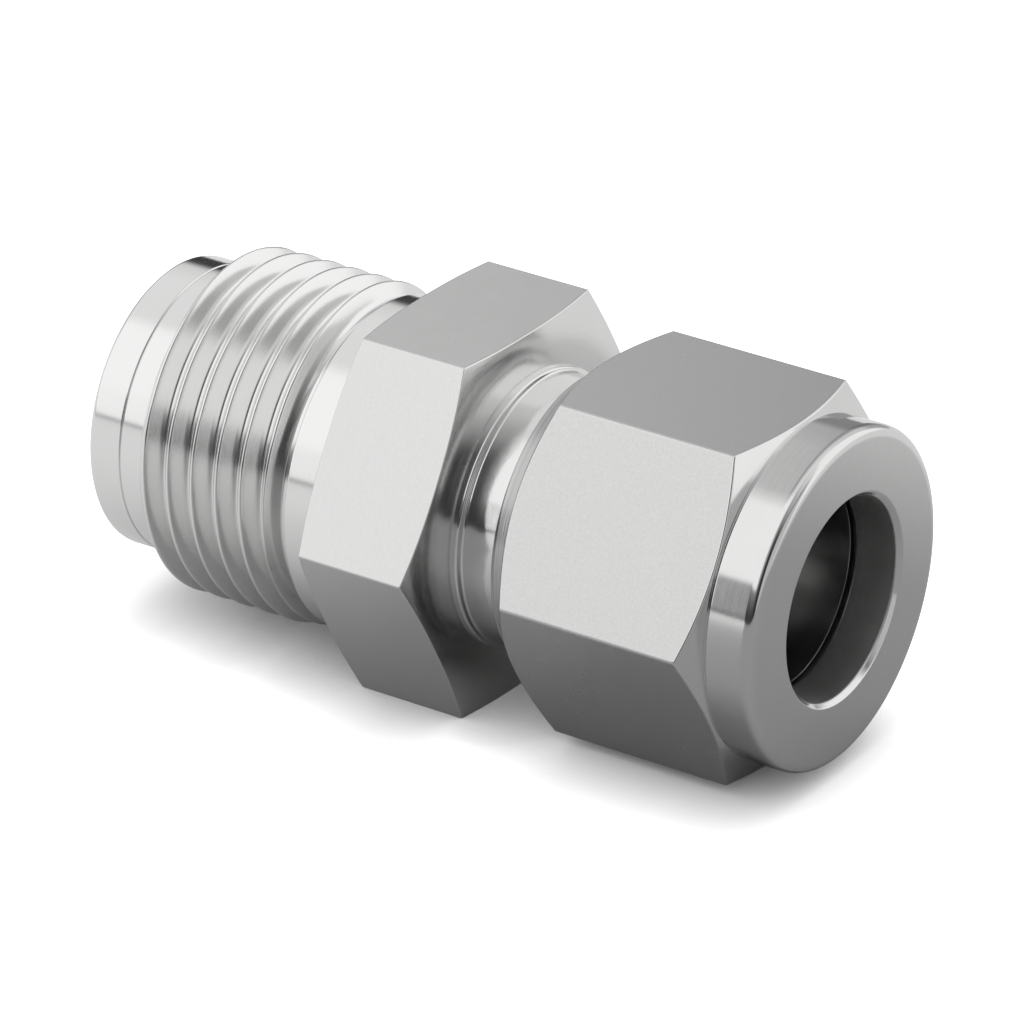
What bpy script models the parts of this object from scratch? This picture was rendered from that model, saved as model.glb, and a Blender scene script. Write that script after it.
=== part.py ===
"""Face seal to tube fitting, as a Blender model in metres with +Z up.

A straight connector for half inch tube: a male face seal end, a hexagon to hold it by,
and a tube end closed by a nut over two ferrules. The fitting lies on one flat of its body
hexagon. Its axis runs along X, with the tube nut towards +X.

Places along the axis are measured from the datum, the body hexagon's face towards the nut.
The nut stands where it seats on the ferrules, finger tight, with a small gap at each seat.
"""

import math

import bmesh
import bpy
from mathutils import Vector

# Gap between pieces that touch on the real fitting
SEAT_GAP = 0.0003

# Tube and through bore
TUBE_DIAMETER = 0.0127
TUBE_CLEARANCE = 0.00005
THROUGH_BORE = 0.0103
SOCKET_SHOULDER = 0.0006

# Body hexagon
BODY_HEX_ACROSS_FLATS = 0.02381
BODY_HEX_WIDTH = 0.0086
BODY_HEX_FACE_DIAMETER = 0.0232
BODY_HEX_CHAMFER = 16.0

# Face seal end: 7/8 in. thread, 14 to the inch, and the plain nose with its sealing bead
SEAL_THREAD_DIAMETER = 0.02222
SEAL_THREAD_PITCH = 0.001814
SEAL_THREAD_LENGTH = 0.01165
SEAL_THREAD_LEAD_IN = 65.0
SEAL_THREAD_START = 0.0023
SEAL_THREAD_RUN_OUT = 0.55
SEAL_RELIEF_WIDTH = 0.0013
SEAL_RELIEF_DEPTH = 0.0001
NOSE_STEP = 0.0006
NOSE_LENGTH = 0.00416
NOSE_EDGE = 0.0003
NOSE_LINE_PLACE = 0.0025
NOSE_LINE_DEPTH = 0.0001
BEAD_DIAMETER = 0.0138
BEAD_WIDTH = 0.0016
BEAD_HEIGHT = 0.0004
SHANK_STEP = 0.0004
SHANK_LENGTH = 0.0026

# Tube end of the body: neck, plain shoulder, 3/4 in. thread, 20 to the inch, and the cone for
# the ferrule
NECK_LENGTH = 0.00315
NECK_RIM_DIAMETER = 0.0180
NECK_RIM_WIDTH = 0.00015
NECK_DIAMETER = 0.0173
NECK_HOLLOW_SHAPE = 0.35
BODY_SHOULDER_LENGTH = 0.00125
BODY_THREAD_PITCH = 0.00127
BODY_THREAD_LENGTH = 0.0098
BODY_THREAD_CHAMFER = 0.0006
MOUTH_FLARE = 0.00185
MOUTH_WALL = 0.0005
MOUTH_ANGLE = 15.0

# Ferrules
FERRULE_CLEARANCE = 0.0001
FRONT_FERRULE_NOSE = 0.0039
FRONT_FERRULE_COLLAR = 0.0016
BACK_FERRULE_NOSE = 0.0015
BACK_FERRULE_WALL = 0.0004
BACK_FERRULE_FLANGE = 0.0006
FERRULE_SEAT_ANGLE = 30.0

# Tube nut
NUT_LENGTH = 0.0176
NUT_WALL = 0.00133
NUT_HEX_FACE_STEP = 0.00018
NUT_BACK_CHAMFER = 32.5
NUT_FRONT_CHAMFER = 26.0
NUT_COLLAR_LENGTH = 0.00323
NUT_COLLAR_STEP = 0.00019
NUT_COLLAR_EDGE = 0.0005
NUT_BORE_CLEARANCE = 0.00011
NUT_BORE_LAND = 0.00308
NUT_BORE_EDGE = 0.0003
NUT_SHOULDER_ANGLE = 45.0
NUT_CHAMBER_LENGTH = 0.0010
NUT_RELIEF_LENGTH = 0.0012
NUT_RELIEF_DEPTH = 0.0001
THREAD_CLEARANCE = 0.00018
THREAD_OUT_OF_STEP = 0.5
THREAD_ENTRY = 0.25

# Thread form: flank half angle, crest flat and depth as shares of the pitch
FLANK_ANGLE = 30.0
CREST_SHARE = 1.0 / 8.0
DEPTH_SHARE = 0.6134

# Facets round a turned form, points on an arc, and the angle from which an edge is sharp
FACETS = 36
ARC_POINTS = 5
SHARP_ANGLE = 25.0

# The longest edge that counts as a sliver, and how near two points are when they are one
SLIVER = 0.000005
SAME_POINT = 0.0000001

# How far a cutting tool stands past what it cuts: a length, a share of a thread's pitch, and
# a share of a hexagon's corner radius
TOOL_OVERSHOOT = 0.001
GROOVE_OVERSHOOT = 0.05
BLANK_OVERSHOOT = 0.1


def tangent(degrees):
    return math.tan(math.radians(degrees))


# Radii of the body, from the bore outwards
tube_r = TUBE_DIAMETER / 2
socket_r = tube_r + TUBE_CLEARANCE
bore_r = THROUGH_BORE / 2
mouth_r = socket_r + MOUTH_FLARE
body_root_r = mouth_r + MOUTH_WALL
body_crest_r = body_root_r + DEPTH_SHARE * BODY_THREAD_PITCH
seal_crest_r = SEAL_THREAD_DIAMETER / 2
seal_root_r = seal_crest_r - DEPTH_SHARE * SEAL_THREAD_PITCH
nose_r = seal_root_r - NOSE_STEP
shank_r = seal_crest_r - SHANK_STEP

# Places along the body, from the datum
hex_back_x = -BODY_HEX_WIDTH
shank_back_x = hex_back_x - SHANK_LENGTH
thread_front_x = shank_back_x - SEAL_THREAD_LENGTH
nose_x = thread_front_x - NOSE_LENGTH
bead_x = nose_x - BEAD_HEIGHT
body_thread_x = NECK_LENGTH + BODY_SHOULDER_LENGTH
body_end_x = body_thread_x + BODY_THREAD_LENGTH
mouth_depth = MOUTH_FLARE / tangent(MOUTH_ANGLE)

# Ferrules, each seated on the piece before it
ferrule_bore_r = tube_r + FERRULE_CLEARANCE
front_collar_x = body_end_x + SEAT_GAP
front_back_x = front_collar_x + FRONT_FERRULE_COLLAR
back_flange_x = front_back_x + SEAT_GAP
back_cone_x = back_flange_x + BACK_FERRULE_FLANGE
flange_r = mouth_r

# Nut, whose shoulder seats on the back ferrule
nut_bore_r = tube_r + NUT_BORE_CLEARANCE
chamber_r = flange_r + SEAT_GAP
shoulder_slope = tangent(NUT_SHOULDER_ANGLE)
shoulder_gap_x = SEAT_GAP * (1 / math.sin(math.radians(NUT_SHOULDER_ANGLE)) - 1 / shoulder_slope)
shoulder_x = back_cone_x + shoulder_gap_x
land_x = shoulder_x + (chamber_r - nut_bore_r) / shoulder_slope
nut_front_x = land_x + NUT_BORE_LAND
nut_back_x = nut_front_x - NUT_LENGTH
chamber_x = shoulder_x - NUT_CHAMBER_LENGTH
relief_x = chamber_x - NUT_RELIEF_LENGTH
nut_root_r = body_crest_r + THREAD_CLEARANCE
nut_crest_r = body_root_r + THREAD_CLEARANCE
nut_entry_x = max(nut_back_x, body_thread_x + THREAD_ENTRY * BODY_THREAD_PITCH)
nut_relief_r = nut_root_r + NUT_RELIEF_DEPTH
nut_half_flats = nut_root_r + NUT_WALL
nut_collar_r = nut_half_flats - NUT_COLLAR_STEP
nut_collar_x = nut_front_x - NUT_COLLAR_LENGTH

# The axis lies half the body hexagon above the rest plane, with the origin under the middle
axis_height = BODY_HEX_ACROSS_FLATS / 2
middle_x = (bead_x + nut_front_x) / 2


def clear_scene():
    for item in list(bpy.data.objects):
        bpy.data.objects.remove(item, do_unlink=True)


def steel(name, colour, roughness):
    """Stainless steel: one colour and one roughness."""
    material = bpy.data.materials.new(name)
    material.use_nodes = True
    shader = material.node_tree.nodes["Principled BSDF"]
    shader.inputs["Base Color"].default_value = (*colour, 1.0)
    shader.inputs["Metallic"].default_value = 1.0
    shader.inputs["Roughness"].default_value = roughness
    return material


def add_object(name, bm, parent, material=None):
    """Make a mesh object from bm, with its origin on the fitting's axis."""
    bmesh.ops.recalc_face_normals(bm, faces=bm.faces)
    mesh = bpy.data.meshes.new(name)
    bm.to_mesh(mesh)
    bm.free()
    mesh.shade_smooth()
    mesh.set_sharp_from_angle(angle=math.radians(SHARP_ANGLE))
    item = bpy.data.objects.new(name, mesh)
    item.parent = parent
    if material:
        mesh.materials.append(material)
    else:
        item.hide_render = True
        item.display_type = "WIRE"
    bpy.context.collection.objects.link(item)
    return item


def arc(centre, radius, start, end, points=ARC_POINTS):
    """Points (x, r) on an arc from one angle to the other, in degrees from +x towards +r."""
    steps = [math.radians(start + (end - start) * i / (points - 1)) for i in range(points)]
    return [(centre[0] + radius * math.cos(a), centre[1] + radius * math.sin(a)) for a in steps]


def bump(x, radius, width, height, points=ARC_POINTS):
    """Points of a rounded bead on a face at x, from its outer edge to its inner edge."""
    return [(x - height * math.sin(math.pi * i / (points + 1)),
             radius + width / 2 * math.cos(math.pi * i / (points + 1)))
            for i in range(points + 2)]


def hollow(x_from, r_from, x_to, r_to, r_low, points=ARC_POINTS):
    """Points of a smooth hollow that dips to r_low midway between two edges."""
    shares = [i / (points + 1) for i in range(1, points + 1)]
    dips = [math.sin(math.pi * t) ** NECK_HOLLOW_SHAPE for t in shares]
    middle = [(x_from + (x_to - x_from) * t, r_from + (r_to - r_from) * t) for t in shares]
    dipped = [(x, r + (r_low - r) * dip) for (x, r), dip in zip(middle, dips)]
    return [*dipped, (x_to, r_to)]


def turned(name, outline, parent, material=None):
    """Spin an outline of (x, r) points about the X axis. Ends at r = 0 close on the axis."""
    bm = bmesh.new()
    verts = [bm.verts.new((x, 0, r)) for x, r in outline]
    edges = [bm.edges.new(pair) for pair in zip(verts, verts[1:])]
    if outline[0][1] > 0:
        edges.append(bm.edges.new((verts[-1], verts[0])))
    bmesh.ops.spin(bm, geom=verts + edges, cent=(0, 0, 0), axis=(1, 0, 0),
                   angle=2 * math.pi, steps=FACETS, use_merge=True)
    bmesh.ops.remove_doubles(bm, verts=bm.verts, dist=SAME_POINT)
    return add_object(name, bm, parent, material)


def hexagon(name, half_flats, x_from, x_to, parent, material=None):
    """A hexagonal bar along X, with one flat down and one flat up."""
    bm = bmesh.new()
    corner_r = half_flats / math.cos(math.pi / 6)
    ring = [bm.verts.new((x_from, corner_r * math.cos(i * math.pi / 3),
                          corner_r * math.sin(i * math.pi / 3))) for i in range(6)]
    face = bm.faces.new(ring)
    grown = bmesh.ops.extrude_face_region(bm, geom=[face])
    moved = [v for v in grown["geom"] if isinstance(v, bmesh.types.BMVert)]
    bmesh.ops.translate(bm, verts=moved, vec=Vector((x_to - x_from, 0, 0)))
    return add_object(name, bm, parent, material)


def thread_cutter(name, x_from, x_to, pitch, root_r, crest_r, parent, lift=0.0):
    """Right-hand helical groove tool between x_from and x_to, with flat root and crest.

    The groove's section is a trapezium from root_r out past crest_r, or in past it on an
    internal thread. It is lifted out by lift over its last half turn.
    """
    way = 1 if crest_r > root_r else -1
    overshoot = GROOVE_OVERSHOOT * pitch
    open_r = crest_r + way * overshoot
    slope = tangent(FLANK_ANGLE)
    crest_half = pitch * (1 - CREST_SHARE) / 2
    open_half = crest_half + overshoot * slope
    root_half = crest_half - abs(crest_r - root_r) * slope
    section = [(-root_half, root_r), (root_half, root_r), (open_half, open_r), (-open_half, open_r)]
    steps = round((x_to - x_from) / pitch * FACETS)
    bm = bmesh.new()
    rings = []
    for i in range(steps + 1):
        turn = 2 * math.pi * i / FACETS
        x = x_from + pitch * i / FACETS
        raised = lift * max(0.0, 1 - (steps - i) / (FACETS / 2))
        rings.append([bm.verts.new((x + dx, (r + raised) * math.cos(turn),
                                    (r + raised) * math.sin(turn))) for dx, r in section])
    for ring, following in zip(rings, rings[1:]):
        for i in range(4):
            j = (i + 1) % 4
            bm.faces.new((ring[i], ring[j], following[j], following[i]))
    bm.faces.new(rings[0])
    bm.faces.new(rings[-1])
    bmesh.ops.triangulate(bm, faces=bm.faces)
    return add_object(name, bm, parent)


def combine(item, operation, other):
    """Join, cut or intersect item with another object, as a live Boolean and a Weld.

    The Weld closes the slivers that a helix leaves where it meets a facet's edge.
    """
    modifier = item.modifiers.new(f"{operation.lower()} {other.name}", "BOOLEAN")
    modifier.operation = operation
    modifier.object = other
    modifier.solver = "EXACT"
    weld = item.modifiers.new(f"weld {other.name}", "WELD")
    weld.merge_threshold = SLIVER
    other.hide_render = True
    other.display_type = "WIRE"


def corner_reach(half_flats):
    """A radius just past a hexagon's corners."""
    return half_flats / math.cos(math.pi / 6) * (1 + BLANK_OVERSHOOT)


def body_blank(parent, material):
    """Nose, face seal thread blank, shank, neck and tube thread blank, turned in one."""
    lead_in = (seal_crest_r - nose_r) / tangent(SEAL_THREAD_LEAD_IN)
    line_x = nose_x + NOSE_LINE_PLACE
    inside_x = hex_back_x / 2
    relief_x = shank_back_x - SEAL_RELIEF_WIDTH
    relief_r = seal_root_r - SEAL_RELIEF_DEPTH
    neck_r = NECK_DIAMETER / 2
    neck_rim_r = NECK_RIM_DIAMETER / 2
    return turned("fitting_body", [
        (nose_x, 0),
        *reversed(bump(nose_x, BEAD_DIAMETER / 2, BEAD_WIDTH, BEAD_HEIGHT)),
        (nose_x, nose_r - NOSE_EDGE),
        (nose_x + NOSE_EDGE, nose_r),
        (line_x - NOSE_LINE_DEPTH, nose_r),
        (line_x, nose_r - NOSE_LINE_DEPTH),
        (line_x + NOSE_LINE_DEPTH, nose_r),
        (thread_front_x, nose_r),
        (thread_front_x + lead_in, seal_crest_r),
        (relief_x, seal_crest_r),
        (relief_x, relief_r),
        (shank_back_x, relief_r),
        (shank_back_x, shank_r),
        (inside_x, shank_r),
        (inside_x, neck_rim_r),
        (NECK_RIM_WIDTH, neck_rim_r),
        *hollow(NECK_RIM_WIDTH, neck_rim_r, NECK_LENGTH, body_crest_r, neck_r),
        (body_end_x - BODY_THREAD_CHAMFER, body_crest_r),
        (body_end_x, body_crest_r - BODY_THREAD_CHAMFER),
        (body_end_x, 0),
    ], parent, material)


def fitting_body(parent, material):
    body = body_blank(parent, material)
    half_flats = BODY_HEX_ACROSS_FLATS / 2
    collar = hexagon("body_hexagon", half_flats, hex_back_x - TOOL_OVERSHOOT, TOOL_OVERSHOOT, parent)
    face_r = BODY_HEX_FACE_DIAMETER / 2
    reach = corner_reach(half_flats)
    chamfer_width = (reach - face_r) * tangent(BODY_HEX_CHAMFER)
    blank = turned("body_hexagon_chamfers", [
        (hex_back_x, 0),
        (hex_back_x, face_r),
        (hex_back_x + chamfer_width, reach),
        (-chamfer_width, reach),
        (0, face_r),
        (0, 0),
    ], parent)
    combine(collar, "INTERSECT", blank)
    combine(body, "UNION", collar)
    seal_groove = thread_cutter("seal_thread_groove", thread_front_x - SEAL_THREAD_START,
                                shank_back_x - SEAL_THREAD_PITCH * SEAL_THREAD_RUN_OUT,
                                SEAL_THREAD_PITCH, seal_root_r, seal_crest_r, parent,
                                lift=seal_crest_r - seal_root_r)
    combine(body, "DIFFERENCE", seal_groove)
    body_groove = thread_cutter("body_thread_groove", body_thread_x,
                                body_end_x + BODY_THREAD_PITCH, BODY_THREAD_PITCH,
                                body_root_r, body_crest_r, parent)
    combine(body, "DIFFERENCE", body_groove)
    mouth_x = body_end_x + TOOL_OVERSHOOT
    bore = turned("body_bore", [
        (bead_x - TOOL_OVERSHOOT, 0),
        (bead_x - TOOL_OVERSHOOT, bore_r),
        (-SOCKET_SHOULDER, bore_r),
        (-SOCKET_SHOULDER, socket_r),
        (body_end_x - mouth_depth, socket_r),
        (mouth_x, mouth_r + TOOL_OVERSHOOT * tangent(MOUTH_ANGLE)),
        (mouth_x, 0),
    ], parent)
    combine(body, "DIFFERENCE", bore)
    return body


def front_ferrule(parent, material):
    """The cone that the nut drives into the body's mouth."""
    slope = tangent(MOUTH_ANGLE)
    gap_r = SEAT_GAP / math.cos(math.radians(MOUTH_ANGLE))
    tip_x = front_collar_x - FRONT_FERRULE_NOSE

    def cone_r(x):
        return mouth_r + (x - body_end_x) * slope - gap_r

    seat_slope = tangent(FERRULE_SEAT_ANGLE)
    pocket_x = back_flange_x - BACK_FERRULE_NOSE - SEAT_GAP
    pocket_r = ferrule_bore_r + BACK_FERRULE_WALL + SEAT_GAP
    return turned("front_ferrule", [
        (tip_x, ferrule_bore_r),
        (tip_x, cone_r(tip_x)),
        (front_collar_x, cone_r(front_collar_x)),
        (front_collar_x, flange_r),
        (front_back_x, flange_r),
        (front_back_x, pocket_r + (front_back_x - pocket_x) * seat_slope),
        (pocket_x, pocket_r),
        (pocket_x, ferrule_bore_r),
    ], parent, material)


def back_ferrule(parent, material):
    """The ring that lifts into the front ferrule and grips the tube."""
    seat_slope = tangent(FERRULE_SEAT_ANGLE)
    tip_x = back_flange_x - BACK_FERRULE_NOSE
    tip_r = ferrule_bore_r + BACK_FERRULE_WALL
    return turned("back_ferrule", [
        (tip_x, ferrule_bore_r),
        (tip_x, tip_r),
        (back_flange_x, tip_r + BACK_FERRULE_NOSE * seat_slope),
        (back_flange_x, flange_r),
        (back_cone_x, flange_r),
        (back_cone_x + (flange_r - ferrule_bore_r) / shoulder_slope, ferrule_bore_r),
    ], parent, material)


def tube_nut(parent, material):
    tool_back_x = nut_back_x - TOOL_OVERSHOOT
    tool_front_x = nut_front_x + TOOL_OVERSHOOT
    nut = hexagon("tube_nut", nut_half_flats, tool_back_x, tool_front_x, parent, material)
    face_r = nut_half_flats - NUT_HEX_FACE_STEP
    reach = corner_reach(nut_half_flats)
    edge = NUT_COLLAR_EDGE
    outside = turned("nut_outside", [
        (nut_back_x, 0),
        (nut_back_x, face_r),
        (nut_back_x + (reach - face_r) * tangent(NUT_BACK_CHAMFER), reach),
        (nut_collar_x - (reach - nut_collar_r) * tangent(NUT_FRONT_CHAMFER), reach),
        (nut_collar_x, nut_collar_r),
        *reversed(arc((nut_front_x - edge, nut_collar_r - edge), edge, 0, 90)),
        (nut_front_x, 0),
    ], parent)
    combine(nut, "INTERSECT", outside)
    inside = turned("nut_inside", [
        (tool_back_x, 0),
        (tool_back_x, nut_relief_r),
        (nut_entry_x, nut_relief_r),
        (nut_entry_x + nut_relief_r - nut_crest_r, nut_crest_r),
        (relief_x, nut_crest_r),
        (relief_x, nut_relief_r),
        (chamber_x, nut_relief_r),
        (chamber_x, chamber_r),
        (shoulder_x, chamber_r),
        (land_x, nut_bore_r),
        (nut_front_x - NUT_BORE_EDGE, nut_bore_r),
        (tool_front_x, nut_bore_r + NUT_BORE_EDGE + TOOL_OVERSHOOT),
        (tool_front_x, 0),
    ], parent)
    combine(nut, "DIFFERENCE", inside)
    turns_back = math.ceil((body_thread_x - nut_back_x) / BODY_THREAD_PITCH) + 1
    groove_x = body_thread_x - BODY_THREAD_PITCH * (turns_back + THREAD_OUT_OF_STEP)
    groove = thread_cutter("nut_thread_groove", groove_x, (relief_x + chamber_x) / 2,
                           BODY_THREAD_PITCH, nut_root_r, nut_crest_r, parent)
    combine(nut, "DIFFERENCE", groove)
    return nut


def build():
    clear_scene()
    axis = bpy.data.objects.new("fitting_axis", None)
    axis.location = (-middle_x, 0, axis_height)
    bpy.context.collection.objects.link(axis)
    satin = steel("satin_steel", (0.62, 0.62, 0.61), 0.32)
    bright = steel("bright_steel", (0.70, 0.70, 0.69), 0.18)
    fitting_body(axis, satin)
    front_ferrule(axis, bright)
    back_ferrule(axis, bright)
    tube_nut(axis, satin)


build()
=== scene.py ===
# Face seal tube fitting: finished surfaces, steels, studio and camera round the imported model.
# Lengths are in millimetres. Places along the axis count from the body hexagon's face towards
# the nut, and radii from the axis.
import math

import bpy
import numpy as np
from mathutils import Matrix, Vector


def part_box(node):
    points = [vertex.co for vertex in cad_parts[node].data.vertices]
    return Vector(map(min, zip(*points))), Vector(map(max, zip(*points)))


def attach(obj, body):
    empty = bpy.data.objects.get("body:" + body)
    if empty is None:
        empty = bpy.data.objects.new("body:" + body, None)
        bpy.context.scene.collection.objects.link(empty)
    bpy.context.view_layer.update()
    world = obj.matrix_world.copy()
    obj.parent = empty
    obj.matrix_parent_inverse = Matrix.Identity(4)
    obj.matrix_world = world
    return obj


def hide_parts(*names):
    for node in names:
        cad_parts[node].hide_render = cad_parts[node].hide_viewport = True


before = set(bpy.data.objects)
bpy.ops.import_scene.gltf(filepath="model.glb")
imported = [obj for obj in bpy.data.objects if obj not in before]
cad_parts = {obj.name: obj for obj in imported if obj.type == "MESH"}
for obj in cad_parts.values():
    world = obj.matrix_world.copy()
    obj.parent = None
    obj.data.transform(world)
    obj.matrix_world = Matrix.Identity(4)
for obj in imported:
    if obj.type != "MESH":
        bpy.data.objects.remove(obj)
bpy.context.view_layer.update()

placing = {
    "nutFront": 22.294,                      # the nut's front face, the frame's farthest point along +X
    "axisHeight": 11.905,
}
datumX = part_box("tube_nut")[1].x * 1000 - placing["nutFront"]

grid = {
    "columns": 150, "ferruleColumns": 120,   # round a turned piece
    "arcColumns": 5,                         # over half a hexagon corner's arc
    "besideArc": (0.08, 0.3, 0.9),           # degrees past the arc's end
    "flatFrom": 2.0, "flatColumns": 13,      # from there to the flat's middle
    "edgeRow": 0.045, "edgeShare": 0.3,      # how near a row stands to a rounded edge, so flats stay flat
    "edgeRoom": 1.5,                         # how many times that stays free of other rows
    "mostCut": 0.42,                         # a rounding's largest share of the sides next to it
    "skin": 0.02,                            # how far off a plain wall a row takes the thread
    "flank": 30.0,                           # a thread flank's angle, in degrees
    "tiny": 1e-9,
}


# Smaller of two, blended where they are within k of each other: min(a, b) - (k - |a - b|)^2 / 4k
def softMin(a, b, k):
    near = np.clip(k - np.abs(a - b), 0, None)
    return np.minimum(a, b) - near * near / (4 * k)


def softMax(a, b, k):
    return -softMin(-a, -b, k)


# Even angles round the axis
def evenAngles(count):
    return np.arange(count) * 2 * np.pi / count


# Angles and radii round a hexagon with rounded corners, whose arcs are finely split. The radius
# is half / cos(angle from the flat's middle), and near a corner the far side of a circle of
# radius edge whose centre is (half - edge) / cos 30 out.
def hexagon(half, edge):
    arc = 30 - math.degrees(math.atan((half - edge) * math.tan(math.pi / 6) / half))
    oneSide = np.concatenate([np.linspace(0, arc, grid["arcColumns"]), arc + np.array(grid["besideArc"]),
                              np.linspace(arc + grid["flatFrom"], 30, grid["flatColumns"])])
    sector = np.concatenate([-oneSide[:0:-1], oneSide[:-1]])
    angles = np.radians((sector[None, :] + 60 * np.arange(6)[:, None]).ravel())
    fromCorner = (angles + np.pi / 6) % (np.pi / 3) - np.pi / 6
    flat = half / np.cos(np.pi / 6 - np.abs(fromCorner))
    centre = (half - edge) / math.cos(math.pi / 6)
    under = np.clip(edge ** 2 - (centre * np.sin(fromCorner)) ** 2, 0, None)
    rounded = centre * np.cos(fromCorner) + np.sqrt(under)
    return angles, np.where(np.abs(fromCorner) < math.radians(arc), rounded, flat)


# Radius of a right-hand screw at each place. The distance d from the nearest groove centre,
# which moves one pitch along for each turn, gives a flank (d - rootHalf) / tan 30 from the
# root, held softly between root and crest. An internal thread has its root outside.
def screwRadius(x, angles, screw):
    pitch, root, crest = screw["pitch"], screw["root"], screw["crest"]
    way = 1 if crest > root else -1
    along = (x - screw["grooveAt"] - pitch * angles / (2 * np.pi)) / pitch
    d = np.abs(along - np.round(along)) * pitch
    rise = (d - screw["rootHalf"]) / math.tan(math.radians(grid["flank"]))
    return root + way * softMin(softMax(rise, 0, screw["rootSoft"]), abs(crest - root), screw["crestSoft"])


# Rows along a closed outline whose corners differ from column to column. Each corner is given as
# (x, radius, rounding, step to the next, finish), where x and radius are numbers or arrays over
# the columns. A corner is cut back by its rounding and becomes the parabola
# (1-s)^2 A + 2s(1-s) C + s^2 B. A straight is split evenly, with a row close to each end.
# Returns the rows, the number of the corner that each follows, and its finish.
def outlineRows(cornerList, columns, arcRows=6):
    xs, radii, rounding, steps, finishes = zip(*cornerList)
    corners = np.array([[np.broadcast_to(x, columns), np.broadcast_to(r, columns)]
                        for x, r in zip(xs, radii)]).transpose(0, 2, 1)
    count = len(corners)
    enter, leave = [], []
    for i in range(count):
        back, on = corners[i - 1] - corners[i], corners[(i + 1) % count] - corners[i]
        backLength, onLength = (np.linalg.norm(side, axis=-1, keepdims=True) for side in (back, on))
        cut = np.minimum(rounding[i], grid["mostCut"] * np.minimum(backLength, onLength))
        enter.append(corners[i] + back / np.maximum(backLength, grid["tiny"]) * cut)
        leave.append(corners[i] + on / np.maximum(onLength, grid["tiny"]) * cut)
    s = np.linspace(0, 1, arcRows)[:, None, None]
    rows, owner = [], []
    for i in range(count):
        rows.append((1 - s) ** 2 * enter[i] + 2 * s * (1 - s) * corners[i] + s ** 2 * leave[i])
        start, end = leave[i], enter[(i + 1) % count]
        length = float(np.linalg.norm(end - start, axis=-1).max())
        share = min(grid["edgeShare"], grid["edgeRow"] / max(length, grid["tiny"]))
        inner = np.linspace(0, 1, max(1, math.ceil(length / steps[i])) + 1)[1:-1]
        room = share * grid["edgeRoom"]
        t = np.concatenate([[share], inner[(inner > room) & (inner < 1 - room)], [1 - share]])[:, None, None]
        rows.append(start + (end - start) * t)
        owner += [i] * (arcRows + len(t))
    return np.concatenate(rows), np.array(owner), np.array(finishes)[owner]


# One closed surface: rows follow the outline round, columns follow the axis round, and both
# ends join up. A point is (x, r cos angle, r sin angle) from the axis.
def addTurned(name, rows, angles, faces, finishes, body, node):
    x, r = rows[..., 0], rows[..., 1]
    points = np.stack([x + datumX, r * np.cos(angles), r * np.sin(angles) + placing["axisHeight"]], -1)
    nRows, nColumns = x.shape
    i = np.arange(nRows)[:, None]
    j = np.arange(nColumns)[None, :]
    iNext, jNext = (i + 1) % nRows, (j + 1) % nColumns
    quads = np.stack([i * nColumns + j, iNext * nColumns + j, iNext * nColumns + jNext,
                      i * nColumns + jNext], -1).reshape(-1, 4)
    flat = points.reshape(-1, 3)
    a, b, c, d = (flat[quads[:, k]] - flat.mean(0) for k in range(4))
    volume = (np.einsum("ij,ij->i", a, np.cross(b, c)) + np.einsum("ij,ij->i", a, np.cross(c, d))).sum()
    if volume < 0:                           # faces point outwards
        quads = quads[:, ::-1]
    mesh = bpy.data.meshes.new(name)
    mesh.vertices.add(len(flat))
    mesh.vertices.foreach_set("co", (flat / 1000).astype(np.float32).ravel())
    mesh.loops.add(quads.size)
    mesh.loops.foreach_set("vertex_index", quads.astype(np.int32).ravel())
    mesh.polygons.add(len(quads))
    mesh.polygons.foreach_set("loop_start", np.arange(len(quads), dtype=np.int32) * 4)
    for key in finishes:
        mesh.materials.append(finish[key])
    mesh.polygons.foreach_set("material_index", np.repeat(faces.astype(np.int32), nColumns))
    mesh.update(calc_edges=True)
    mesh.shade_smooth()
    piece = bpy.data.objects.new(name, mesh)
    bpy.context.scene.collection.objects.link(piece)
    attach(piece, body)
    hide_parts(node)
    print(name, len(quads) * 2, "triangles")


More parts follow.
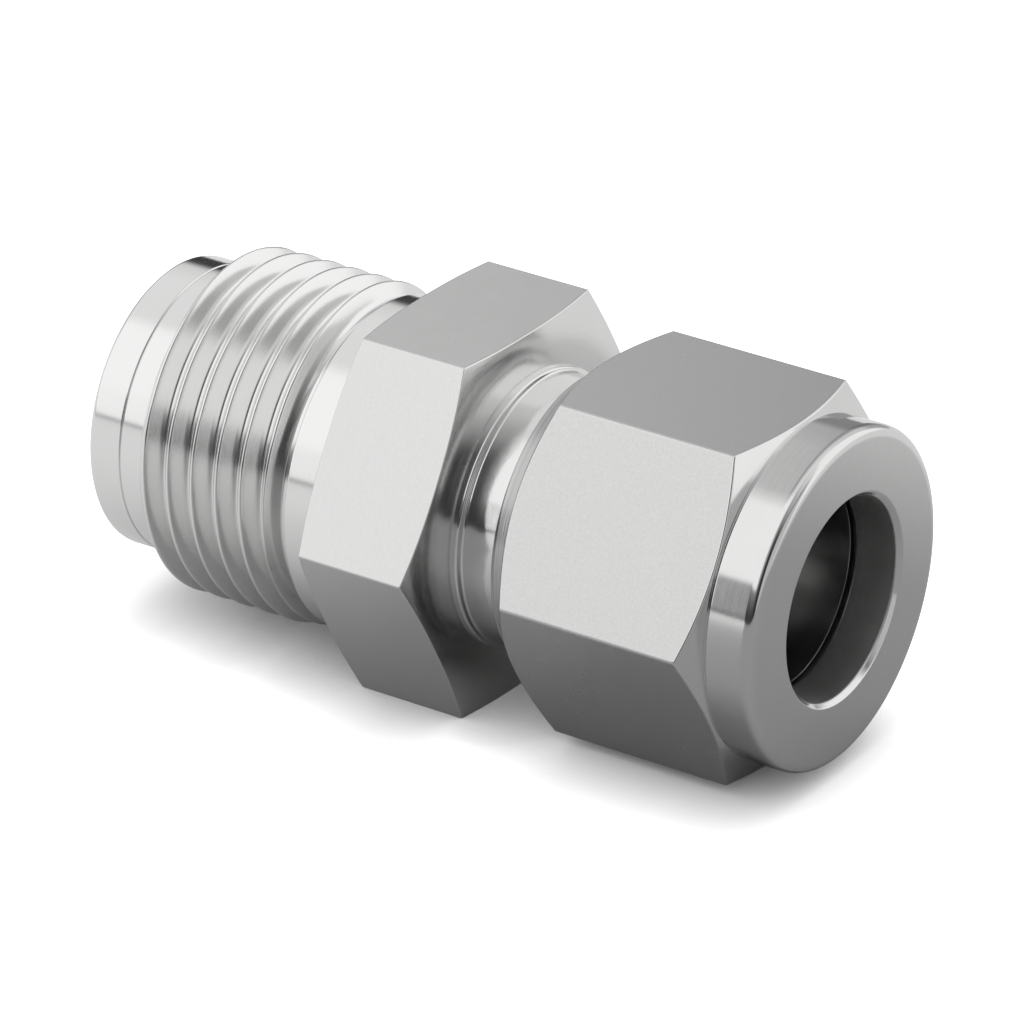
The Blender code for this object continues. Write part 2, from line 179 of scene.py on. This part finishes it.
# A socket of a shader tree. Arithmetic on it adds Math nodes.
class Wire:
    def __init__(self, tree, socket=None):
        self.tree, self.socket = tree, socket

    def node(self, kind, settings=None, values=None, out=0):
        made = self.tree.nodes.new(kind)
        for key, value in (settings or {}).items():
            if key == "stops":
                ramp = made.color_ramp
                for spot, shade in value[1:-1]:
                    ramp.elements.new(spot)
                for element, (spot, shade) in zip(ramp.elements, value):
                    element.position, element.color = spot, (shade, shade, shade, 1)
            else:
                setattr(made, key, value)
        for key, value in (values or {}).items():
            if isinstance(value, Wire):
                self.tree.links.new(value.socket, made.inputs[key])
            else:
                made.inputs[key].default_value = value
        return Wire(self.tree, made.outputs[out])

    def math(self, operation, first, second=0.0):
        return self.node("ShaderNodeMath", {"operation": operation}, {0: first, 1: second})

    def __add__(self, other):
        return self.math("ADD", self, other)

    def __sub__(self, other):
        return self.math("SUBTRACT", self, other)

    def __rsub__(self, other):
        return self.math("SUBTRACT", other, self)

    def __mul__(self, other):
        return self.math("MULTIPLY", self, other)

    def __pow__(self, other):
        return self.math("POWER", self, other)

    __radd__ = __add__
    __rmul__ = __mul__

    # the larger of two
    def most(self, other):
        return self.math("MAXIMUM", self, other)

    # 0 below low, 1 above high, smooth between
    def step(self, low, high):
        return self.node("ShaderNodeMapRange", {"interpolation_type": "SMOOTHSTEP"},
                         {0: self, 1: low, 2: high, 3: 0.0, 4: 1.0})

    # 1 below low, 0 above high
    def fade(self, low, high):
        return 1 - self.step(low, high)

    # x, y and z of a vector
    def parts(self):
        return [self.node("ShaderNodeSeparateXYZ", None, {0: self}, out=k) for k in range(3)]

    # colour from dark at 0 to light at 1
    def tint(self, dark=(0, 0, 0), light=(1, 1, 1)):
        return self.node("ShaderNodeMix", {"data_type": "RGBA"},
                         {0: self, 6: (*dark, 1), 7: (*light, 1)}, out=2)

    def feed(self, shader, key):
        self.tree.links.new(self.socket, shader.inputs[key])


def newMaterial(name):
    material = bpy.data.materials.new(name)
    material.use_nodes = True
    return material, material.node_tree.nodes["Principled BSDF"], Wire(material.node_tree)


# A steel finish. Lathe lines are noise over (x, radius), so they run round the axis on
# cylinders and faces alike; grain is fine even noise; mottle is a slow change of shade.
def steel(name, v):
    material, shader, wire = newMaterial(name)

    def noise(kind, at):
        return wire.node("ShaderNodeTexNoise", None, {
            "Vector": at, "Scale": v[kind + "Scale"], "Detail": v[kind + "Detail"],
            "Roughness": v[kind + "Break"]}) - 0.5

    place = wire.node("ShaderNodeTexCoord", out=3)
    x, y, z = place.parts()
    z = z - placing["axisHeight"] / 1000
    ring = wire.node("ShaderNodeCombineXYZ", None, {0: x, 1: (y * y + z * z) ** 0.5})
    line, grain, mottle = noise("line", ring), noise("grain", place), noise("mottle", place)
    shade = mottle * v["mottleShade"] + grain * v["grainShade"] + line * v["lineShade"] + 0.5
    shade.tint(*([v["base"] * share * (1 + side * v["warmth"]) for side in (1, 0, -1)]
                 for share in (1 - v["spread"], 1 + v["spread"]))).feed(shader, "Base Color")
    rough = mottle * v["roughMottle"] + line * v["roughLines"] + v["rough"]
    rough.feed(shader, "Roughness")
    height = line * v["lineHeight"] + grain * v["grainHeight"] + mottle * v["mottleHeight"]
    bump = wire.node("ShaderNodeBump", None, {"Height": height, "Strength": 1.0, "Distance": 0.001})
    bump.feed(shader, "Normal")
    shader.inputs["Metallic"].default_value = 1.0
    return material


# What the steels share. Heights are in millimetres, scales in noise cells a metre, and spread is
# how far the base brightness swings over the noise.
common = {
    "base": 0.76, "warmth": 0.004, "spread": 0.2, "rough": 0.18, "roughMottle": 0.06, "roughLines": 0.06,
    "lineScale": 4200, "lineDetail": 4.0, "lineBreak": 0.6, "lineShade": 0.05, "lineHeight": 0.0008,
    "grainScale": 6500, "grainDetail": 3.0, "grainBreak": 0.65, "grainShade": 0.0, "grainHeight": 0.0,
    "mottleScale": 700, "mottleDetail": 5.0, "mottleBreak": 0.6, "mottleShade": 0.10, "mottleHeight": 0.002,
}
turned = {"base": 0.80, "roughMottle": 0.05, "roughLines": 0.05, "lineScale": 5200, "lineHeight": 0.0006,
          "mottleScale": 420, "mottleShade": 0.06}
satin = {"roughMottle": 0.08, "roughLines": 0.0, "lineShade": 0.0, "lineHeight": 0.0,
         "mottleScale": 900, "mottleHeight": 0.0008}
bored = {"roughLines": 0.08, "lineScale": 3600, "lineHeight": 0.0012, "grainShade": 0.05, "mottleScale": 500}
steels = {
    "polished": {**turned, "rough": 0.13},
    "thread": turned,
    "hexSatin": {**satin, "base": 0.71, "rough": 0.22, "grainShade": 0.32, "mottleShade": 0.16},
    "neck": {"rough": 0.10, "roughLines": 0.04, "lineShade": 0.04, "mottleHeight": 0.006},
    "endFace": {"rough": 0.20, "mottleShade": 0.12, "mottleHeight": 0.006},
    "shoulder": {"base": 0.50, "rough": 0.24, "roughLines": 0.20, "lineScale": 5200, "lineShade": 2.6,
                 "lineHeight": 0.02},
    "nutSatin": {**satin, "base": 0.67, "rough": 0.26, "grainShade": 0.5, "mottleShade": 0.2},
    "nutTurned": {"base": 0.72, "rough": 0.10, "roughMottle": 0.05, "roughLines": 0.04, "lineShade": 0.06,
                  "lineHeight": 0.0006, "grainShade": 0.16, "grainHeight": 0.0002, "mottleScale": 900,
                  "mottleShade": 0.12, "mottleHeight": 0.001},
    "nutBore": {**bored, "base": 0.75, "rough": 0.42, "lineShade": 0.10},
    # painted shade: this base is far below the other steels, so the inside of the bores, the socket and the
    # nut's thread read dark
    "bore": {**bored, "base": 0.32, "rough": 0.30, "lineShade": 0.08, "mottleShade": 0.08},
    "ferrule": {"base": 0.70, "roughMottle": 0.05, "lineScale": 3600, "lineHeight": 0.0010,
                "mottleScale": 600, "mottleShade": 0.08},
}
finish = {key: steel(key + "Steel", {**common, **values}) for key, values in steels.items()}
print("steels ready")


sealEnd = {
    "noseFace": -27.01, "noseRadius": 9.397, "noseEdge": 0.3,
    "beadRadius": 6.9, "beadHalf": 0.8, "beadHeight": 0.4, "beadStep": 20,
    "hairline": -24.51, "hairlineDepth": 0.08,
    "leadIn": -22.85, "leadInAngle": 65.0, "leadInEdge": 0.05,
    "reliefFrom": -12.5, "reliefTo": -11.2, "reliefRadius": 9.897,
    "endSlope": 0.6, "endLift": 0.05,        # the thread's last groove runs out over this slope
    "shankRadius": 10.71, "shankEnd": -4.0,
    "boreRadius": 5.15, "boreEdge": 0.15, "boreEnd": -0.6, "sleeveRadius": 6.0,
    "screw": {"pitch": 1.814, "root": 9.997, "crest": 11.11, "grooveAt": -25.15, "rootHalf": 0.19,
              "rootSoft": 0.32, "crestSoft": 0.10},
    "screwStep": 0.025, "blend": 0.06,
}


# The nose, face seal thread, relief and shank: the turned blank's radius, and where the thread
# is cut the smaller of blank and screw
def makeSealEnd(v):
    angles, crest = evenAngles(grid["columns"]), v["screw"]["crest"]
    leadOut = v["leadIn"] + (crest - v["noseRadius"]) / math.tan(math.radians(v["leadInAngle"]))
    polished, bore, thread = range(3)
    cornerList = [
        (v["boreEnd"], v["boreRadius"], 0.05, 3.0, bore),
        (v["noseFace"] + v["boreEdge"], v["boreRadius"], 0.08, 0.4, polished),
        (v["noseFace"], v["boreRadius"] + v["boreEdge"], 0.05, 0.4, polished),
        (v["noseFace"], v["beadRadius"] - v["beadHalf"], 0.03, 0.3, polished),
        *[(v["noseFace"] - v["beadHeight"] * math.sin(math.radians(a)),
           v["beadRadius"] - v["beadHalf"] * math.cos(math.radians(a)), 0.02, 0.3, polished)
          for a in range(v["beadStep"], 180, v["beadStep"])],
        (v["noseFace"], v["beadRadius"] + v["beadHalf"], 0.03, 0.5, polished),
        (v["noseFace"], v["noseRadius"] - v["noseEdge"], 0.12, 0.2, polished),
        (v["noseFace"] + v["noseEdge"], v["noseRadius"], 0.12, 0.5, polished),
        (v["hairline"] - v["hairlineDepth"], v["noseRadius"], 0.03, 0.1, polished),
        (v["hairline"], v["noseRadius"] - v["hairlineDepth"], 0.03, 0.1, polished),
        (v["hairline"] + v["hairlineDepth"], v["noseRadius"], 0.03, 0.5, polished),
        (v["leadIn"], v["noseRadius"], 0.06, 0.05, polished),
        (leadOut, crest, 0.12, v["screwStep"], polished),
        (v["reliefFrom"], crest, 0.10, 0.12, polished),
        (v["reliefFrom"] + v["endSlope"], v["reliefRadius"] + v["endLift"], 0.10, 0.12, polished),
        (v["reliefTo"], v["reliefRadius"], 0.10, 0.12, polished),
        (v["reliefTo"], v["shankRadius"], 0.10, 0.8, polished),
        (v["shankEnd"], v["shankRadius"], 0.05, 1.0, polished),
        (v["shankEnd"], v["sleeveRadius"], 0.05, 1.5, bore),
        (v["boreEnd"], v["sleeveRadius"], 0.05, 1.0, bore),
    ]
    rows, _, faces = outlineRows(cornerList, len(angles), arcRows=5)
    x, r = rows[..., 0], rows[..., 1]
    cut = softMin(r, screwRadius(x, angles, v["screw"]), v["blend"])
    along = (x > v["leadIn"] + v["leadInEdge"]) & (x < v["reliefFrom"] + v["endSlope"])
    rows[..., 1] = np.where(along & (r > v["reliefRadius"] + grid["skin"]), cut, r)
    faces[(faces == polished) & (x[:, 0] > v["leadIn"]) & (x[:, 0] < v["reliefTo"])] = thread
    addTurned("sealEnd", rows, angles, faces, ["polished", "bore", "thread"], "body", "fitting_body")


bodyHexagon = {
    "half": 11.905, "edge": 0.14, "back": -8.6, "front": 0.0,
    "faceRadius": 11.6, "chamfer": 16.0, "chamferEdge": 0.07,
    "softFrom": 10.3, "softWidth": 1.3, "softRows": 9,
    "insideRadius": 5.6, "hollowRadius": 6.8, "hollowFoot": 6.3, "hollowDepth": 1.2,
}


# The wrench hexagon: on each column a flat at the hexagon's radius, cut at both ends by a
# chamfer that the end face runs into softly, max(radius - faceRadius, 0) tan(chamfer) from it
def makeBodyHexagon(v):
    angles, r = hexagon(v["half"], v["edge"])
    radii = [v["softFrom"] + (r - v["softFrom"]) * share for share in np.linspace(0, 1, v["softRows"])]
    slope = math.tan(math.radians(v["chamfer"]))
    soft = [(softMax(radius - v["faceRadius"], 0, v["softWidth"]) * slope, radius) for radius in radii]
    satinFlat, endFace = range(2)
    cornerList = [
        (v["back"], v["insideRadius"], 0.05, 2.0, endFace),
        *[(v["back"] + back, radius, 0.05, 3.0, endFace) for back, radius in soft[:-1]],
        (v["back"] + soft[-1][0], r, v["chamferEdge"], 1.5, satinFlat),
        (v["front"] - soft[-1][0], r, v["chamferEdge"], 3.0, endFace),
        *[(v["front"] - back, radius, 0.05, 3.0, endFace) for back, radius in soft[-2::-1]],
        (v["front"], v["hollowRadius"], 0.05, 2.0, endFace),
        (v["front"] - v["hollowDepth"], v["hollowFoot"], 0.05, 2.0, endFace),
    ]
    rows, _, faces = outlineRows(cornerList, len(angles))
    addTurned("bodyHexagon", rows, angles, faces, ["hexSatin", "endFace"], "body", "fitting_body")


tubeEnd = {
    "rimRadius": 9.0, "rimWidth": 0.32, "rimEdge": 0.2, "neckRadius": 8.65, "neckStart": 0.42,
    "neckEnd": 2.95, "shoulderX": 3.15, "end": 14.2, "endEdge": 0.6, "mouthRadius": 8.25, "mouthStart": 7.30,
    "socketRadius": 6.4, "stopX": -0.6, "boreRadius": 5.15, "rootX": -0.9, "rootRadius": 5.45,
    "screw": {"pitch": 1.27, "root": 8.75, "crest": 9.529, "grooveAt": 4.4, "rootHalf": 0.105,
              "rootSoft": 0.11, "crestSoft": 0.11},
    "screwStep": 0.032, "blend": 0.05,
    "runOut": 0.10, "runOutSoft": 0.1,       # the faint groove on the shoulder
    "bandFrom": 3.05, "bandTo": 4.8,         # where the shoulder band takes its darker steel with strong lathe lines
}


# Rim, neck, shoulder, tube thread, mouth and socket. The thread starts half a pitch before its
# first groove's centre, and on the shoulder it runs out in a faint groove.
def makeTubeEnd(v):
    angles, crest = evenAngles(grid["columns"]), v["screw"]["crest"]
    neck, bore, shoulder, thread = range(4)
    cornerList = [
        (v["rootX"], v["rootRadius"], 0.05, 2.0, neck),
        (v["rootX"], v["rimRadius"], 0.05, 1.0, neck),
        (v["rimWidth"], v["rimRadius"], v["rimEdge"], 0.1, neck),
        (v["neckStart"], v["neckRadius"], 0.14, 0.4, neck),
        (v["neckEnd"], v["neckRadius"], 0.12, 0.1, neck),
        (v["shoulderX"], crest, 0.05, v["screwStep"], neck),
        (v["end"] - v["endEdge"], crest, 0.08, 0.06, neck),
        (v["end"], crest - v["endEdge"], 0.06, 0.3, neck),
        (v["end"], v["mouthRadius"], 0.06, 0.8, neck),
        (v["mouthStart"], v["socketRadius"], 0.08, 1.5, bore),
        (v["stopX"], v["socketRadius"], 0.10, 0.6, bore),
        (v["stopX"], v["boreRadius"], 0.05, 0.6, bore),
    ]
    rows, owner, faces = outlineRows(cornerList, len(angles), arcRows=4)
    x, r = rows[..., 0], rows[..., 1]
    start = v["screw"]["grooveAt"] + v["screw"]["pitch"] * (angles / (2 * np.pi) - 0.5)
    screw = screwRadius(x, angles, v["screw"])
    runOut = softMax(screw, crest - v["runOut"], v["runOutSoft"])
    cut = softMin(r, np.where(x > start, screw, runOut), v["blend"])
    outside = np.isin(owner, [5, 6, 7])[:, None]     # from the shoulder to the end's chamfer
    rows[..., 1] = np.where(outside & (r > v["screw"]["root"] - grid["skin"]), cut, r)
    faces[(faces == neck) & (x[:, 0] > v["bandFrom"]) & (x[:, 0] < v["bandTo"])] = shoulder
    faces[(faces == neck) & (x[:, 0] >= v["bandTo"])] = thread
    addTurned("tubeEnd", rows, angles, faces, ["neck", "bore", "shoulder", "thread"], "body", "fitting_body")


tubeNut = {
    "half": 11.039, "edge": 0.22, "back": 4.694, "faceRadius": 10.86, "backChamfer": 32.5,
    "front": 22.294, "collarX": 19.064, "collarRadius": 10.849, "frontChamfer": 26.0, "collarEdge": 0.7,
    "grooveDepth": 0.07, "grooveWidth": 0.13, "chamferEdge": 0.10,
    "boreRadius": 6.46, "boreEdge": 0.3, "landX": 19.214, "chamberRadius": 8.55, "shoulderX": 17.124,
    "chamberX": 16.124, "reliefX": 14.924, "reliefRadius": 9.809, "reliefSlope": 0.1, "entryX": 4.718,
    "screw": {"pitch": 1.27, "root": 9.709, "crest": 8.93, "grooveAt": 3.765, "rootHalf": 0.105,
              "rootSoft": 0.11, "crestSoft": 0.11},
    "screwStep": 0.06, "blend": 0.05,
}


# The nut: hexagon cut by a chamfer behind and a cone in front, a turned line, collar, face and
# bore, and inside the larger of blank and internal screw
def makeTubeNut(v):
    angles, r = hexagon(v["half"], v["edge"])
    crest = v["screw"]["crest"]
    backX = v["back"] + (r - v["faceRadius"]) * math.tan(math.radians(v["backChamfer"]))
    coneX = v["collarX"] - (r - v["collarRadius"]) * math.tan(math.radians(v["frontChamfer"]))
    satinFlat, lathe, bore, inside = range(4)
    cornerList = [
        (v["back"], v["reliefRadius"], 0.06, 0.5, lathe),
        (v["back"], v["faceRadius"], 0.08, 0.3, satinFlat),
        (backX, r, v["chamferEdge"], 2.0, satinFlat),
        (coneX, r, v["chamferEdge"], 0.3, lathe),
        (v["collarX"], v["collarRadius"] - v["grooveDepth"], 0.03, 0.1, lathe),
        (v["collarX"] + v["grooveWidth"], v["collarRadius"], 0.03, 0.6, lathe),
        (v["front"], v["collarRadius"], v["collarEdge"], 0.5, lathe),
        (v["front"], v["boreRadius"] + v["boreEdge"], 0.08, 0.15, lathe),
        (v["front"] - v["boreEdge"], v["boreRadius"], 0.08, 0.6, bore),
        (v["landX"], v["boreRadius"], 0.08, 0.8, bore),
        (v["shoulderX"], v["chamberRadius"], 0.06, 0.5, inside),
        (v["chamberX"], v["chamberRadius"], 0.06, 0.5, inside),
        (v["chamberX"], v["reliefRadius"], 0.06, 0.5, inside),
        (v["reliefX"], v["reliefRadius"], 0.06, 0.1, inside),
        (v["reliefX"] - v["reliefSlope"], crest, 0.05, v["screwStep"], inside),
        (v["entryX"] + v["reliefRadius"] - crest, crest, 0.05, 0.08, inside),
    ]
    rows, owner, faces = outlineRows(cornerList, len(angles))
    x, radius = rows[..., 0], rows[..., 1]
    cut = softMax(radius, screwRadius(x, angles, v["screw"]), v["blend"])
    threaded = np.isin(owner, [13, 14, 15])[:, None]     # from the relief to the entry
    rows[..., 1] = np.where(threaded & (radius < v["reliefRadius"] - grid["skin"]), cut, radius)
    addTurned("tubeNut", rows, angles, faces, ["nutSatin", "nutTurned", "nutBore", "bore"], "nut", "tube_nut")


ferrules = {
    "front": [(10.6, 6.45), (10.6, 6.975), (14.5, 8.02), (14.5, 8.25), (16.1, 8.25), (16.1, 8.108),
              (14.6, 7.15), (14.6, 6.45)],
    "back": [(14.9, 6.45), (14.9, 6.85), (16.4, 7.716), (16.4, 8.25), (17.0, 8.25), (18.8, 6.45)],
    "edge": 0.06, "step": 0.6,
}


def makeFerrule(name, outline, node):
    angles = evenAngles(grid["ferruleColumns"])
    cornerList = [(x, r, ferrules["edge"], ferrules["step"], 0) for x, r in outline]
    rows, _, faces = outlineRows(cornerList, len(angles))
    addTurned(name, rows, angles, faces, ["ferrule"], "ferrules", node)


makeSealEnd(sealEnd)
makeBodyHexagon(bodyHexagon)
makeTubeEnd(tubeEnd)
makeTubeNut(tubeNut)
makeFerrule("frontFerrule", ferrules["front"], "front_ferrule")
makeFerrule("backFerrule", ferrules["back"], "back_ferrule")


floor = {
    "half": 3.0, "colour": 0.29,             # this and the distances below are in metres
    "glow": 1.2, "openNear": 0.0065,         # as the camera sees it
    "glowLeft": 0.50, "glowRight": 0.05, "openWide": 0.035,      # as the steel shows it
    "glowAcross": (-0.028, 0.030), "glowSlant": 0.3, "glowBehind": (0.02, 0.06),
    "openSamples": 2,
}


# A plain pale floor. Part of its white is a glow for camera, gloss and transmission rays that
# dims with ambient occlusion where the floor is closed in: a painted shadow in the picture and in
# the steel, beside the real shadow in the floor's own diffuse light. In the steel the glow is
# brighter to the left, up to a slanting line, and behind: a painted pool of light where the
# tent's light would fall.
def makeFloor(v):
    half = v["half"]
    mesh = bpy.data.meshes.new("floor")
    mesh.from_pydata([(-half, -half, 0), (half, -half, 0), (half, half, 0), (-half, half, 0)], [],
                     [(0, 1, 2, 3)])
    plane = bpy.data.objects.new("floor", mesh)
    bpy.context.scene.collection.objects.link(plane)
    material, shader, wire = newMaterial("paleFloor")
    camera, glossy, through = (wire.node("ShaderNodeLightPath", out=k) for k in (0, 3, 6))
    near, wide = (wire.node("ShaderNodeAmbientOcclusion", {"samples": v["openSamples"]},
                            {"Distance": v[k]}, out=1) for k in ("openNear", "openWide"))
    x, y, _ = wire.node("ShaderNodeTexCoord", out=3).parts()
    # painted pool of light for gloss and transmission rays: 1 left of a slanting line and behind, 0 elsewhere
    paintedLightPool = (x - y * v["glowSlant"]).fade(*v["glowAcross"]).most(y.step(*v["glowBehind"]))
    gloss = glossy.most(through) * (paintedLightPool * (v["glowLeft"] - v["glowRight"]) + v["glowRight"])
    # painted shadow: occlusion near the object dims the glow for camera, gloss and transmission rays
    glow = camera * near + gloss * wide * (1 / v["glow"])
    glow.tint().feed(shader, "Emission Color")
    shader.inputs["Emission Strength"].default_value = v["glow"]
    shader.inputs["Base Color"].default_value = (v["colour"],) * 3 + (1,)
    shader.inputs["Roughness"].default_value = 1.0
    shader.inputs["Specular IOR Level"].default_value = 0.0
    mesh.materials.append(material)


# Each pair is a range of the direction's x, y or z over which a part of the tent comes or goes
tent = {
    "most": 1.1, "dark": 0.04,
    "along": [(0.0, 1.08), (0.39, 1.08), (0.47, 0.84), (0.78, 0.84), (0.88, 0.73), (1.0, 0.73)],
    "dip": 0.6, "dipX": (-0.485, -0.43), "dipEndX": (-0.4, -0.1), "dipY": (-0.3, 0.0),
    "leftX": (0.0, 0.4), "overY": (-0.6, 0.35), "overZ": (0.55, 0.80),
    "rightBack": 1.5, "rightBackX": (-0.1, 0.3), "rightBackY": (0.1, 0.5),
    "low": 0.55, "lowX": (-0.5, -0.45), "lowY": (0.1, 0.35), "lowZ": (0.25, 0.40),
    "frontY": (-0.2, 0.1), "fill": 0.38, "fillX": (0.25, 0.55), "fillZ": (0.0, 0.62),
    "cardX": (-0.505, -0.45), "cardZ": (0.33, 0.39), "edge": 0.24, "edgeX": (-0.435, -0.41),
    "right": 0.6, "rightX": (0.70, 0.88),
    "strip": 0.7, "stripX": (-0.48, -0.45), "stripZ": (-0.006, 0.004), "stripTopZ": (0.03, 0.05),
}


# The light tent: brightness by direction, and white for the camera. A wall of light stands on the
# left from front to back, closes over the top and stands again on the right behind. Behind it has
# one dip a little to the left, and low down it ends above the table. The front is dark and
# brightens with height: a card there covers the wall, and its left edge is a narrow grey line.
# The far right is half lit, and on the left a dim strip lies along the horizon.
def makeWorld(v):
    world = bpy.data.worlds.new("lightTent")
    bpy.context.scene.world = world
    world.use_nodes = True
    back = world.node_tree.nodes["Background"]
    wire = Wire(world.node_tree)
    x, y, z = wire.node("ShaderNodeTexCoord", out=0).parts()
    along = wire.node("ShaderNodeValToRGB", {"stops": v["along"]}, {0: y * 0.5 + 0.5})
    dip = x.step(*v["dipX"]) * v["dip"] * y.step(*v["dipY"]) * x.fade(*v["dipEndX"])
    level = wire.node("ShaderNodeSeparateColor", None, {0: along}) * (1 - dip)
    left = x.fade(*v["leftX"])
    over = z.step(*v["overZ"]) * y.step(*v["overY"])
    rightBack = y.step(*v["rightBackY"]) * x.step(*v["rightBackX"]) * v["rightBack"]
    low = y.step(*v["lowY"]) * z.fade(*v["lowZ"]) * left * (1 - x.step(*v["lowX"]) * v["low"])
    walls = level * left.most(over).most(rightBack) * (1 - low) + v["dark"]
    front = y.fade(*v["frontY"])
    fill = z.step(*v["fillZ"]) * v["fill"] * front * x.fade(*v["fillX"]) + v["dark"]
    card = x.step(*v["cardX"]) * z.fade(*v["cardZ"]) * front
    edge = x.fade(*v["edgeX"]) * v["edge"]
    light = (walls * (1 - card) + card * fill.most(edge)).most(fill).most(x.step(*v["rightX"]) * v["right"])
    strip = z.step(*v["stripZ"]) * z.fade(*v["stripTopZ"]) * x.fade(*v["stripX"]) * v["strip"]
    seen = wire.node("ShaderNodeLightPath", out=0)
    bright = light * (1 - strip) * (1 - seen) + seen
    (bright * (1 / v["most"])).tint().feed(back, "Color")
    back.inputs["Strength"].default_value = v["most"]


sun = {"strength": 1.1, "spread": 40, "from": (0.0, 0.27, 1.0)}


# A soft light from overhead that shows in no reflection
def makeSun(v):
    light = bpy.data.lights.new("overheadSun", "SUN")
    light.energy, light.angle = v["strength"], math.radians(v["spread"])
    lamp = bpy.data.objects.new("overheadSun", light)
    lamp.rotation_mode = "QUATERNION"
    lamp.rotation_quaternion = Vector(v["from"]).to_track_quat("Z", "Y")
    lamp.visible_glossy = False
    bpy.context.scene.collection.objects.link(lamp)


view = {
    "azimuth": 33.025, "elevation": 26.465, "roll": 0.647, "distance": 445.6,
    "focal": 7256.1, "centre": (2.97, -10.93), "aim": (1.204, 0.0, 11.905), "pixels": 1024,
    "sensor": 36.0, "clip": (0.01, 20.0),
}


# The photograph's camera: it stands at aim + distance * back and looks along -back, where
# back = (sin az cos el, -cos az cos el, sin el)
def makeCamera(v):
    a, e, roll = (math.radians(v[k]) for k in ("azimuth", "elevation", "roll"))
    back = Vector((math.sin(a) * math.cos(e), -math.cos(a) * math.cos(e), math.sin(e)))
    right = (-back).cross(Vector((0, 0, 1))).normalized()
    up = right.cross(-back)
    right, up = (right * math.cos(roll) + up * math.sin(roll), up * math.cos(roll) - right * math.sin(roll))
    data = bpy.data.cameras.new("camera")
    data.sensor_width = v["sensor"]
    data.lens = v["focal"] / v["pixels"] * v["sensor"]
    data.shift_x, data.shift_y = -v["centre"][0] / v["pixels"], v["centre"][1] / v["pixels"]
    data.clip_start, data.clip_end = v["clip"]
    camera = bpy.data.objects.new("camera", data)
    turn = Matrix((right, up, back)).transposed().to_4x4()
    camera.matrix_world = Matrix.Translation((Vector(v["aim"]) + back * v["distance"]) / 1000) @ turn
    bpy.context.scene.collection.objects.link(camera)
    bpy.context.scene.camera = camera


makeFloor(floor)
makeWorld(tent)
makeSun(sun)
makeCamera(view)
bpy.context.scene.view_settings.view_transform = "Standard"
print("studio ready")
